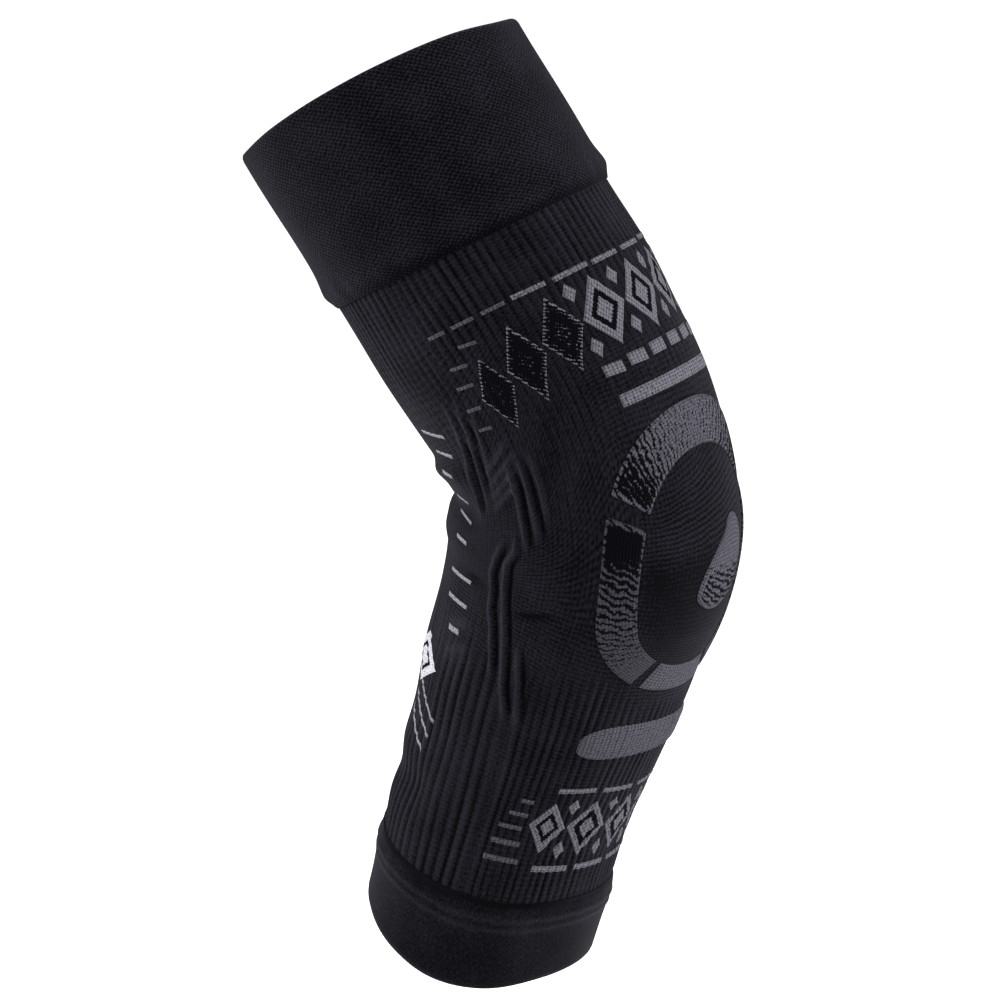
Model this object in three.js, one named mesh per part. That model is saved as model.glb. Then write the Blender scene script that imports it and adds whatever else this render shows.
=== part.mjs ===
// Arm compression sleeve: a knitted tube for the elbow, in the shape it takes on a bent arm.
//
// It is made of a ribbed tube in three lengths, for the forearm, the elbow and the upper arm, a
// folded welt cuff at each end, and raised knit pads: a ring in four segments around the point of
// the elbow, a drop-shaped pad inside the ring, and a curved bar below it.
//
// Frame, in millimetres: +Z up, +X out of the point of the elbow, Y across the arm. The origin is
// where the axes of the upper arm and the forearm cross. A place on the sleeve is given by its
// station, which is the distance along the arm's axis from the lower rim, and by its angle around
// that axis: 0 at the point of the elbow, 90 on the -Y side and 180 in the crook of the elbow.

import * as THREE from "three";

// Arm: two straight lengths, which cross at the origin, and the bend between them

const UPPER_LENGTH = 137.5;
const LOWER_LENGTH = 155;
const UPPER_TILT = THREE.MathUtils.degToRad(34.5); // both lean back from the vertical, away from +X
const LOWER_TILT = THREE.MathUtils.degToRad(17);
const BEND_RADIUS = 70;

// Outside of the knitted tube: how far it reaches from the axis, and how far its knitted rows lean

const SECTIONS = [
  { station: 0, front: 37.3, back: 34.2, side: 35.3, lean: 0 },
  { station: 26, front: 36.8, back: 36.8, side: 35.5, lean: 3 },
  { station: 46, front: 37.2, back: 38.8, side: 36.2, lean: 4 },
  { station: 66, front: 39.6, back: 38.6, side: 37.6, lean: 3 },
  { station: 84, front: 41.6, back: 40.2, side: 39.4, lean: 2 },
  { station: 104, front: 42.9, back: 40.6, side: 41.4, lean: 1 },
  { station: 136, front: 46.6, back: 43.8, side: 44, lean: 0 },
  { station: 160, front: 43.2, back: 43.2, side: 44, lean: 0 },
  { station: 184, front: 43.6, back: 43.8, side: 44.4, lean: -2 },
  { station: 208, front: 45.5, back: 45.8, side: 44.6, lean: -5 },
  { station: 232, front: 45, back: 45.6, side: 45, lean: -6 },
  { station: 288, front: 45.4, back: 45.9, side: 45.2, lean: -5.7 },
];

// Rims: how much further along the arm each one reaches around its edge, fading along the sleeve

const RIM_REACH = [
  { angle: -180, upper: 0, lower: 1.6 },
  { angle: -110, upper: 0, lower: 7 },
  { angle: -60, upper: 1.5, lower: 6.5 },
  { angle: -25, upper: 1.4, lower: 2.5 },
  { angle: 0, upper: 1.8, lower: 0.4 },
  { angle: 30, upper: 4.2, lower: 3.3 },
  { angle: 60, upper: 5, lower: 9.2 },
  { angle: 85, upper: 4.4, lower: 11 },
  { angle: 110, upper: 2.8, lower: 8.8 },
  { angle: 135, upper: 0.8, lower: 5.6 },
  { angle: 156, upper: 0.4, lower: 3.2 },
  { angle: 180, upper: 0, lower: 1.6 },
];
const RIM_REACH_SPAN = 45;

// Knit

const KNIT_WALL = 1.6;
const SLEEVE_COLUMNS = 80;
const RIBS = SLEEVE_COLUMNS / 2; // a column of corners on each ridge and each furrow
const RIB_HEIGHT = 0.7;
const GAP = 0.3; // between one piece and the next

// Folds and dents, each along a line on the sleeve, standing out by height. Both sides have them.

const FOLDS = [
  { station: 138, angle: 107, toStation: 95, toAngle: 98, width: 2.6, height: 1.3 },
  { station: 140, angle: 101, toStation: 85, toAngle: 88, width: 2.6, height: 1.5 },
  { station: 188, angle: 106, toStation: 153, toAngle: 116, width: 3, height: 0.9 },
  { station: 166, angle: 94, toStation: 141, toAngle: 91, width: 3, height: 0.9 },
  { station: 118, angle: 92, toStation: 122, toAngle: 78, width: 2.4, height: -0.8 },
  { station: 174, angle: 180, toStation: 168, toAngle: 128, width: 6, height: 2 },
  { station: 157, angle: 180, toStation: 149, toAngle: 126, width: 6, height: -1.8 },
  { station: 128, angle: 180, toStation: 130, toAngle: 136, width: 8, height: 1 },
  { station: 45, angle: 180, toStation: 46, toAngle: 128, width: 7, height: -1.8 },
];
const DEGREE_LENGTH = 0.77; // surface covered by one degree, where the folds lie

// Cuffs: a double layer of knit that stands out from the tube and laps over its end

const CUFF_COLUMNS = 60;
const CUFF_ROW_SPACING = 14;
const UPPER_CUFF = { length: 48, proud: 1.5, welt: 0.8, lap: 7 };
const LOWER_CUFF = { length: 21, proud: 1.1, welt: 0.4, lap: 4 };
const WELT_SPAN = 9; // the cuff's lapping edge swells over this length
const WELT_ROW_SPACING = 3;
const EDGE_ROUND = 0.9;

// Raised knit pads. Each is centred on a station and an angle, its turn.

const PAD_HEIGHT = 1;
const PAD_EDGE_HEIGHT = 0.45;
const PAD_CROWN = { across: 4, along: 8 }; // a higher power leaves the top flatter
const PAD_STEPS = 4; // across a pad's width
const RING = {
  station: 134.6,
  turn: 14,
  outer: { length: 33.5, angle: 50.5, squareness: 2.35 },
  inner: { length: 24.3, angle: 35.5, squareness: 2.15 },
};
const RING_SEGMENTS = [
  { name: "elbow_ring_upper", from: 33.5, to: 146.5 },
  { name: "elbow_ring_left", from: -61.5, to: 25 },
  { name: "elbow_ring_right", from: 155, to: 241.5 },
  { name: "elbow_ring_lower", from: 247, to: 293 },
];
const RING_STEP = 7; // degrees around the ring
const ELBOW_PAD = { station: 135.6, turn: 5, length: 9, angle: 13.5, droop: 0.3, lean: 4, steps: 8 };
const FOREARM_BAR = { station: 80, turn: 10, length: 6.3, angle: 43, arch: 3.5, steps: 16 };
const BAR_END = { taper: 0.88, power: 6 }; // rounds the bar's ends
const SMOOTH_BORDER = 1.3; // ribs die away over this share of a pad's reach, outside its edge

// Materials

const BLACK_RIB_KNIT = new THREE.MeshStandardMaterial({ color: "#2a2930", roughness: 0.95, metalness: 0 });
const BLACK_WELT_KNIT = new THREE.MeshStandardMaterial({ color: "#232229", roughness: 0.95, metalness: 0 });
const GREY_PAD_KNIT = new THREE.MeshStandardMaterial({ color: "#5a5960", roughness: 0.9, metalness: 0 });

// The arm's axis

const BEND_ANGLE = UPPER_TILT + LOWER_TILT;
const BEND_CUT = BEND_RADIUS * Math.tan(BEND_ANGLE / 2); // taken off each straight length by the bend
const BEND_START = LOWER_LENGTH - BEND_CUT;
const BEND_END = BEND_START + BEND_RADIUS * BEND_ANGLE;
const RIM_STATION = BEND_END + UPPER_LENGTH - BEND_CUT;
const ACROSS = new THREE.Vector3(0, -1, 0);

// Lengths of the tube, from cuff to cuff

const ELBOW_FROM = 118;
const ELBOW_TO = 186;
const TUBE_END = RIM_STATION - UPPER_CUFF.length;
const TUBE_LENGTHS = [
  { name: "sleeve_forearm", from: LOWER_CUFF.length, to: ELBOW_FROM, rowSpacing: 10, liningSpacing: 23 },
  { name: "sleeve_elbow", from: ELBOW_FROM + GAP, to: ELBOW_TO, rowSpacing: 8.5, liningSpacing: 11.3 },
  { name: "sleeve_upper_arm", from: ELBOW_TO + GAP, to: TUBE_END, rowSpacing: 10, liningSpacing: 27 },
];

// The point, the direction along the arm and the direction towards the elbow's point at a station.
function axisAt(station) {
  const turned = THREE.MathUtils.clamp((station - BEND_START) / BEND_RADIUS, 0, BEND_ANGLE);
  const lean = LOWER_TILT - turned;
  const along = new THREE.Vector3(Math.sin(lean), 0, Math.cos(lean));
  const front = new THREE.Vector3(Math.cos(lean), 0, -Math.sin(lean));
  const lowerFront = new THREE.Vector3(Math.cos(LOWER_TILT), 0, -Math.sin(LOWER_TILT));
  const lowerAlong = new THREE.Vector3(Math.sin(LOWER_TILT), 0, Math.cos(LOWER_TILT));
  const point = lowerAlong.multiplyScalar(Math.min(station, BEND_START) - LOWER_LENGTH);
  point.addScaledVector(front, BEND_RADIUS).addScaledVector(lowerFront, -BEND_RADIUS);
  point.addScaledVector(along, Math.max(station - BEND_END, 0));
  return { point, along, front };
}

// A column of a table, read at a value of its key column: a smooth curve through the rows, which
// is level at the first and last row.
function smoothColumn(rows, key, column, value) {
  const last = rows.length - 1;
  const above = rows.findIndex((row) => row[key] > value);
  const high = above < 0 ? last : Math.max(above, 1);
  const slopeAt = (k) => {
    if (k === 0 || k === last) return 0;
    return (rows[k + 1][column] - rows[k - 1][column]) / (rows[k + 1][key] - rows[k - 1][key]);
  };
  const from = rows[high - 1];
  const span = rows[high][key] - from[key];
  const t = (value - from[key]) / span;
  const step = (rows[high][column] - from[column]) * t * t * (3 - 2 * t);
  const swing = span * t * (1 - t) * (slopeAt(high - 1) * (1 - t) - slopeAt(high) * t);
  return from[column] + step + swing;
}

// How far a place lies from the middle of an oval patch: 1 on its edge.
function ovalReach(station, angle, patch) {
  return Math.hypot((station - patch.station) / patch.length, (angle - patch.turn) / patch.angle);
}

const SMOOTH_PATCHES = [
  { ...RING, ...RING.outer },
  { ...FOREARM_BAR, length: 2 * FOREARM_BAR.length },
];

// Ribs: full height on the plain tube, none under the pads.
function ribRelief(station, angle) {
  const strength = SMOOTH_PATCHES.map((patch) =>
    THREE.MathUtils.smoothstep(ovalReach(station, angle, patch), 1, SMOOTH_BORDER),
  );
  const wave = Math.cos(RIBS * THREE.MathUtils.degToRad(angle));
  return (RIB_HEIGHT / 2) * wave * Math.min(...strength);
}

// Folds: ridges and dents with a soft cross-section, along a line that fades at both ends.
function foldRelief(station, angle) {
  const relief = FOLDS.map((fold) => {
    const line = new THREE.Vector2(
      fold.toStation - fold.station,
      (fold.toAngle - fold.angle) * DEGREE_LENGTH,
    );
    const place = new THREE.Vector2(
      station - fold.station,
      (Math.abs(angle) - fold.angle) * DEGREE_LENGTH,
    );
    const share = THREE.MathUtils.clamp(place.dot(line) / line.lengthSq(), 0, 1);
    const off = place.addScaledVector(line, -share).length();
    return fold.height * Math.exp(-((off / fold.width) ** 2));
  });
  return relief.reduce((sum, height) => sum + height, 0);
}

// How much further along the arm a place lies, because its rim reaches further there.
function rimReach(station, angle) {
  const upper = smoothColumn(RIM_REACH, "angle", "upper", angle);
  const lower = smoothColumn(RIM_REACH, "angle", "lower", angle);
  const upperShare = Math.max(0, 1 - (RIM_STATION - station) / RIM_REACH_SPAN);
  const lowerShare = Math.max(0, 1 - station / RIM_REACH_SPAN);
  return upper * upperShare - lower * lowerShare;
}

// A point of the sleeve, at a height above the tube's plain outside.
function onSleeve(station, angle, height) {
  const turn = THREE.MathUtils.degToRad(angle);
  const { point, along, front } = axisAt(station);
  const toFront = Math.cos(turn);
  const reach = smoothColumn(SECTIONS, "station", toFront > 0 ? "front" : "back", station);
  const side = smoothColumn(SECTIONS, "station", "side", station);
  const lean = THREE.MathUtils.degToRad(smoothColumn(SECTIONS, "station", "lean", station));
  point.addScaledVector(front, toFront * (reach + height));
  point.addScaledVector(ACROSS, Math.sin(turn) * (side + height));
  return point.addScaledVector(along, Math.tan(lean) * toFront * reach + rimReach(station, angle));
}

// Evenly spaced stations from one to another, both included.
function stationsBetween(from, to, spacing) {
  const steps = Math.max(1, Math.round(Math.abs(to - from) / spacing));
  return Array.from({ length: steps + 1 }, (_, k) => THREE.MathUtils.lerp(from, to, k / steps));
}

// A closed wall around the arm: its profile is a loop of places, each given by station and height.
function wallAround(profile, columns) {
  const positions = [];
  for (const { station, height } of profile) {
    for (let column = 0; column < columns; column += 1) {
      const turn = (360 * column) / columns;
      const angle = turn > 180 ? turn - 360 : turn;
      const top = typeof height === "function" ? height(station, angle) : height;
      positions.push(...onSleeve(station, angle, top).toArray());
    }
  }
  const corner = (row, column) => (row % profile.length) * columns + (column % columns);
  const triangles = [];
  for (let row = 0; row < profile.length; row += 1) {
    for (let column = 0; column < columns; column += 1) {
      const [a, b] = [corner(row, column), corner(row, column + 1)];
      const [c, d] = [corner(row + 1, column + 1), corner(row + 1, column)];
      triangles.push(a, d, b, b, d, c);
    }
  }
  const geometry = new THREE.BufferGeometry();
  geometry.setAttribute("position", new THREE.Float32BufferAttribute(positions, 3));
  geometry.setIndex(triangles);
  geometry.computeVertexNormals();
  return geometry;
}

// A raised pad: a box bent onto the sleeve, with its upper face sinking towards its edges. The
// function place gives the station and angle at a share across and a share along the pad.
function padOnSleeve(place, across, along) {
  const geometry = new THREE.BoxGeometry(1, 1, 1, across, along, 1);
  const corners = geometry.getAttribute("position");
  for (let k = 0; k < corners.count; k += 1) {
    const [x, y, z] = [corners.getX(k), corners.getY(k), corners.getZ(k)];
    const { station, angle } = place(x + 0.5, y + 0.5);
    const crown = (1 - (2 * x) ** PAD_CROWN.across) * (1 - (2 * y) ** PAD_CROWN.along);
    const top = THREE.MathUtils.lerp(PAD_EDGE_HEIGHT, PAD_HEIGHT, crown);
    const point = onSleeve(station, angle, GAP + (z > 0 ? top : 0));
    corners.setXYZ(k, ...point.toArray());
  }
  geometry.computeVertexNormals();
  return geometry;
}

function mesh(name, geometry, material) {
  const made = new THREE.Mesh(geometry, material);
  made.name = name;
  return made;
}

// One length of the ribbed tube, with ribs and folds outside and a plain lining.
function tubeLength({ name, from, to, rowSpacing, liningSpacing }) {
  const outside = (station, angle) => ribRelief(station, angle) + foldRelief(station, angle);
  const lining = (station, angle) => foldRelief(station, angle) - KNIT_WALL;
  const profile = [
    ...stationsBetween(from, to, rowSpacing).map((station) => ({ station, height: outside })),
    ...stationsBetween(to, from, liningSpacing).map((station) => ({ station, height: lining })),
  ];
  return mesh(name, wallAround(profile, SLEEVE_COLUMNS), BLACK_RIB_KNIT);
}

// A folded welt cuff. Its free edge is the rim; its other edge laps over the end of the tube.
function cuff(name, sizes, rim, inwards) {
  const fromRim = (distance) => rim + inwards * distance;
  const seam = sizes.length - GAP;
  const lapEnd = sizes.length + sizes.lap;
  const weltStart = lapEnd - WELT_SPAN;
  const lapHeight = RIB_HEIGHT / 2 + GAP;
  const swell = (distance) => sizes.welt * Math.max(0, 1 - (lapEnd - distance) / WELT_SPAN);
  const outside = [
    ...stationsBetween(lapEnd, weltStart, WELT_ROW_SPACING),
    ...stationsBetween(weltStart, EDGE_ROUND, CUFF_ROW_SPACING).slice(1),
  ];
  const inside = stationsBetween(EDGE_ROUND, seam, CUFF_ROW_SPACING);
  const loop = [
    { distance: lapEnd, height: lapHeight },
    { distance: lapEnd + EDGE_ROUND, height: (lapHeight + sizes.proud) / 2 },
    ...outside.map((distance) => ({ distance, height: sizes.proud + swell(distance) })),
    { distance: 0, height: sizes.proud - EDGE_ROUND },
    { distance: 0, height: EDGE_ROUND - KNIT_WALL },
    ...inside.map((distance) => ({ distance, height: -KNIT_WALL })),
    { distance: seam, height: lapHeight },
  ];
  const profile = loop.map(({ distance, height }) => ({ station: fromRim(distance), height }));
  const facingOut = inwards > 0 ? profile.reverse() : profile;
  return mesh(name, wallAround(facingOut, CUFF_COLUMNS), BLACK_WELT_KNIT);
}

// A place on an edge of the ring, in a direction counted from the -Y side upwards.
function ringEdge({ length, angle, squareness }, direction) {
  const [x, y] = [Math.cos(direction), Math.sin(direction)];
  const reach = (Math.abs(x) ** squareness + Math.abs(y) ** squareness) ** (-1 / squareness);
  return { station: RING.station + length * reach * y, angle: RING.turn + angle * reach * x };
}

// One segment of the ring around the elbow, between two directions.
function ringSegment({ name, from, to }) {
  const place = (across, along) => {
    const direction = THREE.MathUtils.degToRad(THREE.MathUtils.lerp(from, to, along));
    const [outer, inner] = [ringEdge(RING.outer, direction), ringEdge(RING.inner, direction)];
    const station = THREE.MathUtils.lerp(outer.station, inner.station, across);
    return { station, angle: THREE.MathUtils.lerp(outer.angle, inner.angle, across) };
  };
  const steps = Math.round((to - from) / RING_STEP);
  return mesh(name, padOnSleeve(place, PAD_STEPS, steps), GREY_PAD_KNIT);
}

// The drop-shaped pad on the point of the elbow: a square pulled round, wider at its lower end and
// leaning to one side.
function elbowPad() {
  const place = (across, along) => {
    const [x, y] = [2 * across - 1, 2 * along - 1];
    const station = ELBOW_PAD.station + ELBOW_PAD.length * y * Math.sqrt(1 - (x * x) / 2);
    const spread = ELBOW_PAD.angle * (1 - ELBOW_PAD.droop * y);
    const middle = ELBOW_PAD.turn - ELBOW_PAD.lean * y;
    return { station, angle: middle - spread * x * Math.sqrt(1 - (y * y) / 2) };
  };
  return mesh("elbow_pad", padOnSleeve(place, ELBOW_PAD.steps, ELBOW_PAD.steps), GREY_PAD_KNIT);
}

// The curved bar below the ring, with round ends and an arch towards the elbow.
function forearmBar() {
  const place = (across, along) => {
    const [x, y] = [2 * across - 1, 2 * along - 1];
    const middle = FOREARM_BAR.station + FOREARM_BAR.arch * (1 - y * y);
    const rounding = Math.sqrt(1 - BAR_END.taper * y ** BAR_END.power);
    const half = FOREARM_BAR.length * rounding;
    return { station: middle + half * x, angle: FOREARM_BAR.turn + FOREARM_BAR.angle * y };
  };
  return mesh("forearm_bar", padOnSleeve(place, PAD_STEPS, FOREARM_BAR.steps), GREY_PAD_KNIT);
}

const sleeve = new THREE.Group();
sleeve.name = "arm_compression_sleeve";
sleeve.add(
  cuff("upper_cuff", UPPER_CUFF, RIM_STATION, -1),
  ...TUBE_LENGTHS.map(tubeLength),
  cuff("lower_cuff", LOWER_CUFF, 0, 1),
  ...RING_SEGMENTS.map(ringSegment),
  elbowPad(),
  forearmBar(),
);

export default sleeve;
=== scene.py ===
# %% [markdown]
# # A knitted arm sleeve
#
# In this lesson you dress a plain CAD model as real knitwear. The sleeve is a ribbed tube of black
# elastic yarn with a welt cuff at each end, grey pads around the elbow and small knitted-in motifs.
# A tube of cloth could be sculpted or simulated, but here every surface is a grid of points worked
# out with numpy, because ribs and folds follow the arm and are easy to describe by a distance along
# it and an angle around it.

import bpy
import numpy as np
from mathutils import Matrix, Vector


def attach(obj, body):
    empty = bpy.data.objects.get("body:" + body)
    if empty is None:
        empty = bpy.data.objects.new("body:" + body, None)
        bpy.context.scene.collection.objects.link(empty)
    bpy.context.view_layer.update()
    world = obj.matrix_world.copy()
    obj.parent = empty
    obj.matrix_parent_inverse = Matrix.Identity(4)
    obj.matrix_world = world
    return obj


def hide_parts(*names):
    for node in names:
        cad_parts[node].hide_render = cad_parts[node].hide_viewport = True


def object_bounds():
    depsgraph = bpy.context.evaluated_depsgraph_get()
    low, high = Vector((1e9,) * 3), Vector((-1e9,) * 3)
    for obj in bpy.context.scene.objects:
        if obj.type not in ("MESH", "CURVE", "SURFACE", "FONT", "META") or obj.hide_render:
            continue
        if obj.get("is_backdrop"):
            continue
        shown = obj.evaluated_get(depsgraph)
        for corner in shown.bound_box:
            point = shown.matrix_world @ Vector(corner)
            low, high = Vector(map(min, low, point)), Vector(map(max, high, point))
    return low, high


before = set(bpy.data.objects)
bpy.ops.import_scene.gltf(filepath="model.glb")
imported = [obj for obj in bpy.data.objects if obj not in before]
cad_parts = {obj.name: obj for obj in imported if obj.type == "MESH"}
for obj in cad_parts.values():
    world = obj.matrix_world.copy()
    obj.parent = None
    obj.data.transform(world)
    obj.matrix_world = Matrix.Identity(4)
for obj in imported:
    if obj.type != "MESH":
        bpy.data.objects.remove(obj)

MM = 0.001
cad_box = [[float(value) for value in corner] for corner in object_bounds()]
print("CAD pieces:", sorted(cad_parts))

# %% [markdown]
# ## The arm's axis
#
# The sleeve has the form of a bent arm. A straight tube could be bent afterwards with a modifier, but
# with an axis of your own, every later step can say where its places are. Two straight lengths cross
# at the origin, in the middle of the elbow, and an arc rounds the corner. A place on the sleeve has a
# station, in millimetres along this axis from the lower rim, and an angle around it: 0 at the point of
# the elbow, 90 on the side of -Y, 180 in the crook.

# %% Axis
UPPER_LENGTH, LOWER_LENGTH, BEND_RADIUS = 137.5, 155.0, 70.0
UPPER_TILT, LOWER_TILT = np.radians(34.5), np.radians(17)
BEND_ANGLE = UPPER_TILT + LOWER_TILT
BEND_CUT = BEND_RADIUS * np.tan(BEND_ANGLE / 2)
BEND_START = LOWER_LENGTH - BEND_CUT
BEND_END = BEND_START + BEND_RADIUS * BEND_ANGLE
RIM = BEND_END + UPPER_LENGTH - BEND_CUT


def directions(lean):
    """Along the arm, and towards the point of the elbow, where the arm leans by this angle."""
    zero = np.zeros_like(lean)
    along = np.stack([np.sin(lean), zero, np.cos(lean)], -1)
    front = np.stack([np.cos(lean), zero, -np.sin(lean)], -1)
    return along, front


def axis_at(station):
    """The point of the axis at a station, and the two directions there."""
    lean = LOWER_TILT - np.clip((station - BEND_START) / BEND_RADIUS, 0, BEND_ANGLE)
    along, front = directions(lean)
    low_along, low_front = directions(np.array(LOWER_TILT))
    point = low_along * (np.minimum(station, BEND_START) - LOWER_LENGTH)[..., None]
    point = point + BEND_RADIUS * (front - low_front)
    return point + along * np.maximum(station - BEND_END, 0)[..., None], along, front


print(f"length along the arm: {RIM:.1f} mm")

# %% [markdown]
# ## Sections
#
# A sleeve that is worn isn't round: it follows the arm. A curve with a bevel would keep one section all
# the way, so here one row of a table is one slice: how far it reaches from the axis at the front, at
# the back and at both sides, and how far its knitted rows lean. A smooth curve through the rows gives
# every slice between. A second table says how the two rims wave.

# %% Sections
FRONT, BACK, SIDE, LEAN = range(1, 5)
SECTIONS = np.array(
    [
        # station, front, back, side, lean
        [0, 37.3, 34.2, 35.3, 0],
        [26, 36.8, 36.8, 35.5, 3],
        [46, 37.2, 38.8, 36.2, 4],
        [66, 39.6, 38.6, 37.6, 3],
        [84, 41.6, 40.2, 39.4, 2],
        [104, 42.9, 40.6, 41.4, 1],
        [136, 46.6, 43.8, 44, 0],
        [160, 43.2, 43.2, 44, 0],
        [184, 43.6, 43.8, 44.4, -2],
        [208, 45.5, 45.8, 44.6, -5],
        [232, 45, 45.6, 45, -6],
        [288, 45.4, 45.9, 45.2, -5.7],
    ]
)
UPPER, LOWER = range(1, 3)
RIM_REACH = np.array(
    [
        # angle, upper rim, lower rim
        [-180, 0, 1.6],
        [-110, 0, 7],
        [-60, 1.5, 6.5],
        [-25, 1.4, 2.5],
        [0, 1.8, 0.4],
        [30, 4.2, 3.3],
        [60, 5, 9.2],
        [85, 4.4, 11],
        [110, 2.8, 8.8],
        [135, 0.8, 5.6],
        [156, 0.4, 3.2],
        [180, 0, 1.6],
    ]
)
RIM_REACH_SPAN = 45
print("slices:", len(SECTIONS), "and places on the rims:", len(RIM_REACH))


# %% Points on the sleeve
def smooth_column(rows, column, value):
    """A column of a table, read at values of its first column: a curve that is level at both ends."""
    x, y = rows[:, 0], rows[:, column]
    slope = np.zeros(len(x))
    slope[1:-1] = (y[2:] - y[:-2]) / (x[2:] - x[:-2])
    high = np.clip(np.searchsorted(x, value, side="right"), 1, len(x) - 1)
    low = high - 1
    span = x[high] - x[low]
    t = (value - x[low]) / span
    step = (y[high] - y[low]) * t * t * (3 - 2 * t)
    return y[low] + step + span * t * (1 - t) * (slope[low] * (1 - t) - slope[high] * t)


def on_sleeve(station, angle, height):
    """Points in millimetres, at a height above the plain outside of the tube."""
    station, angle, height = np.broadcast_arrays(*map(np.asarray, (station, angle, height)))
    station, angle = station.astype(float), angle.astype(float)
    turn = np.radians(angle)
    point, along, front = axis_at(station)
    to_front = np.cos(turn)
    reach = np.where(
        to_front > 0,
        smooth_column(SECTIONS, FRONT, station),
        smooth_column(SECTIONS, BACK, station),
    )
    side = smooth_column(SECTIONS, SIDE, station)
    lean = np.radians(smooth_column(SECTIONS, LEAN, station))
    upper_share = np.maximum(0, 1 - (RIM - station) / RIM_REACH_SPAN)
    lower_share = np.maximum(0, 1 - station / RIM_REACH_SPAN)
    shift = np.tan(lean) * to_front * reach
    shift = shift + smooth_column(RIM_REACH, UPPER, angle) * upper_share
    shift = shift - smooth_column(RIM_REACH, LOWER, angle) * lower_share
    point = point + front * (to_front * (reach + height))[..., None]
    point[..., 1] -= np.sin(turn) * (side + height)
    return point + along * shift[..., None]


top = on_sleeve(RIM, 180, 0)
print("back of the upper rim, in mm:", top.round(1))

# %% [markdown]
# ## Ribs
#
# Rib knit has columns of loops that stand up and columns that sink in between. A bump in the material
# could draw them, but ribs in the mesh also show at the outline, and light falls into their furrows as
# it does in the real knit. Each rib is a rounded ridge between two narrow furrows. Over the elbow the
# knit is smooth, and beside the crook it is nearly so. Low on the back the ribs are wider and fewer,
# and nearly flat where a pale motif is to come.

# %% Depth of the ribs
FINE_RIB, WIDE_RIB, MIDDLE_SHARE = 0.6, 0.75, 0.4
FLATTENED = 0.9
RING_STATION, RING_TURN = 134.6, 14
RING_OUTER = (33.5, 50.5, 2.35)
ELBOW_EDGE = (1, 1.3)
MIDDLE = 10
PALE_STATION, PALE_TURN = 79, 138
PALE_LENGTH, PALE_EDGE = 17, (14, 26)
BACK_FROM, BACK_UP_TO = (74, 92), (86, 110)
CROOK_STATION, CROOK_LENGTH, CROOK_FROM = 133, 30, (50, 66)
LOWER_RIBS, UPPER_RIBS = (92, 110), (196, 216)


def smoothstep(value, low, high):
    """A soft rise from 0 at the low value to 1 at the high one."""
    t = np.clip((value - low) / (high - low), 0, 1)
    return t * t * (3 - 2 * t)


def bell(value, middle, width):
    """A soft hump that is 1 at the middle."""
    return np.exp(-(((value - middle) / width) ** 2))


def ring_reach(station, angle):
    """How far a place is from the middle of the ring: 1 on its outer edge."""
    return np.hypot((station - RING_STATION) / RING_OUTER[0], (angle - RING_TURN) / RING_OUTER[1])


def rib_depths(station, angle):
    """How deep the fine ribs and the wide ones are at a place."""
    side = np.abs(angle)
    off_pale = np.abs(np.abs(angle - MIDDLE) - PALE_TURN)
    pale = bell(station, PALE_STATION, PALE_LENGTH) * (1 - smoothstep(off_pale, *PALE_EDGE))
    low_back = smoothstep(side, *BACK_FROM) * (1 - smoothstep(station, *BACK_UP_TO))
    low_back = low_back * (1 - FLATTENED * pale)
    by_crook = bell(station, CROOK_STATION, CROOK_LENGTH) * smoothstep(side, *CROOK_FROM)
    at_ends = smoothstep(station, *UPPER_RIBS) + (1 - smoothstep(station, *LOWER_RIBS))
    fine = MIDDLE_SHARE + (1 - MIDDLE_SHARE) * at_ends
    fine = fine * smoothstep(ring_reach(station, angle), *ELBOW_EDGE)
    fine = fine * (1 - low_back) * (1 - FLATTENED * by_crook)
    return FINE_RIB * fine, WIDE_RIB * low_back


print(f"ribs are {FINE_RIB} mm deep, and {WIDE_RIB} mm low on the back")

# %% Shape of the ribs
RIBS, WIDE_SHARE = 96, 2 / 3
RIB_LEVEL = 0.6
EVEN_DEPTH = 0.78
SIDE_WAVES = [
    # amount, length in millimetres, waves around the arm
    (0.7, 21, 4),
    (0.4, 8, 9),
]
DEPTH_WAVES = [
    (0.2, 13, 7),
    (0.22, 29, -23),
]


def waves(rows, station, angle):
    """The sum of slow waves that run along the arm and around it."""
    total = 0
    for amount, length, count in rows:
        total = total + amount * np.sin(station / length + np.radians(count * angle))
    return total


def ridge(phase):
    """A round ridge with a narrow furrow at each whole turn."""
    return np.abs(np.sin(phase / 2))


def ribs(station, angle):
    """Ribs that wander a little from side to side, some deeper than others."""
    fine, wide = rib_depths(station, angle)
    turn = np.radians(RIBS * angle) + waves(SIDE_WAVES, station, angle)
    depth = EVEN_DEPTH + waves(DEPTH_WAVES, station, angle)
    fine_rise = fine * (ridge(turn) - RIB_LEVEL)
    wide_rise = wide * (ridge(turn * WIDE_SHARE) - RIB_LEVEL)
    return depth * (fine_rise + wide_rise)


print("ribs around:", RIBS, "and low on the back:", round(RIBS * WIDE_SHARE))

# %% [markdown]
# ## Folds
#
# Where the arm bends the knit crowds together and folds, mostly beside the crook. Long ridges run down
# there, each with a crease beside it, and a fan of small ones comes into them from above. A cloth
# simulation would find folds of its own, but these have to lie where the real sleeve has them. So each
# is a row of a table, with the line of places that it follows, and a height below zero is a crease.

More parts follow.
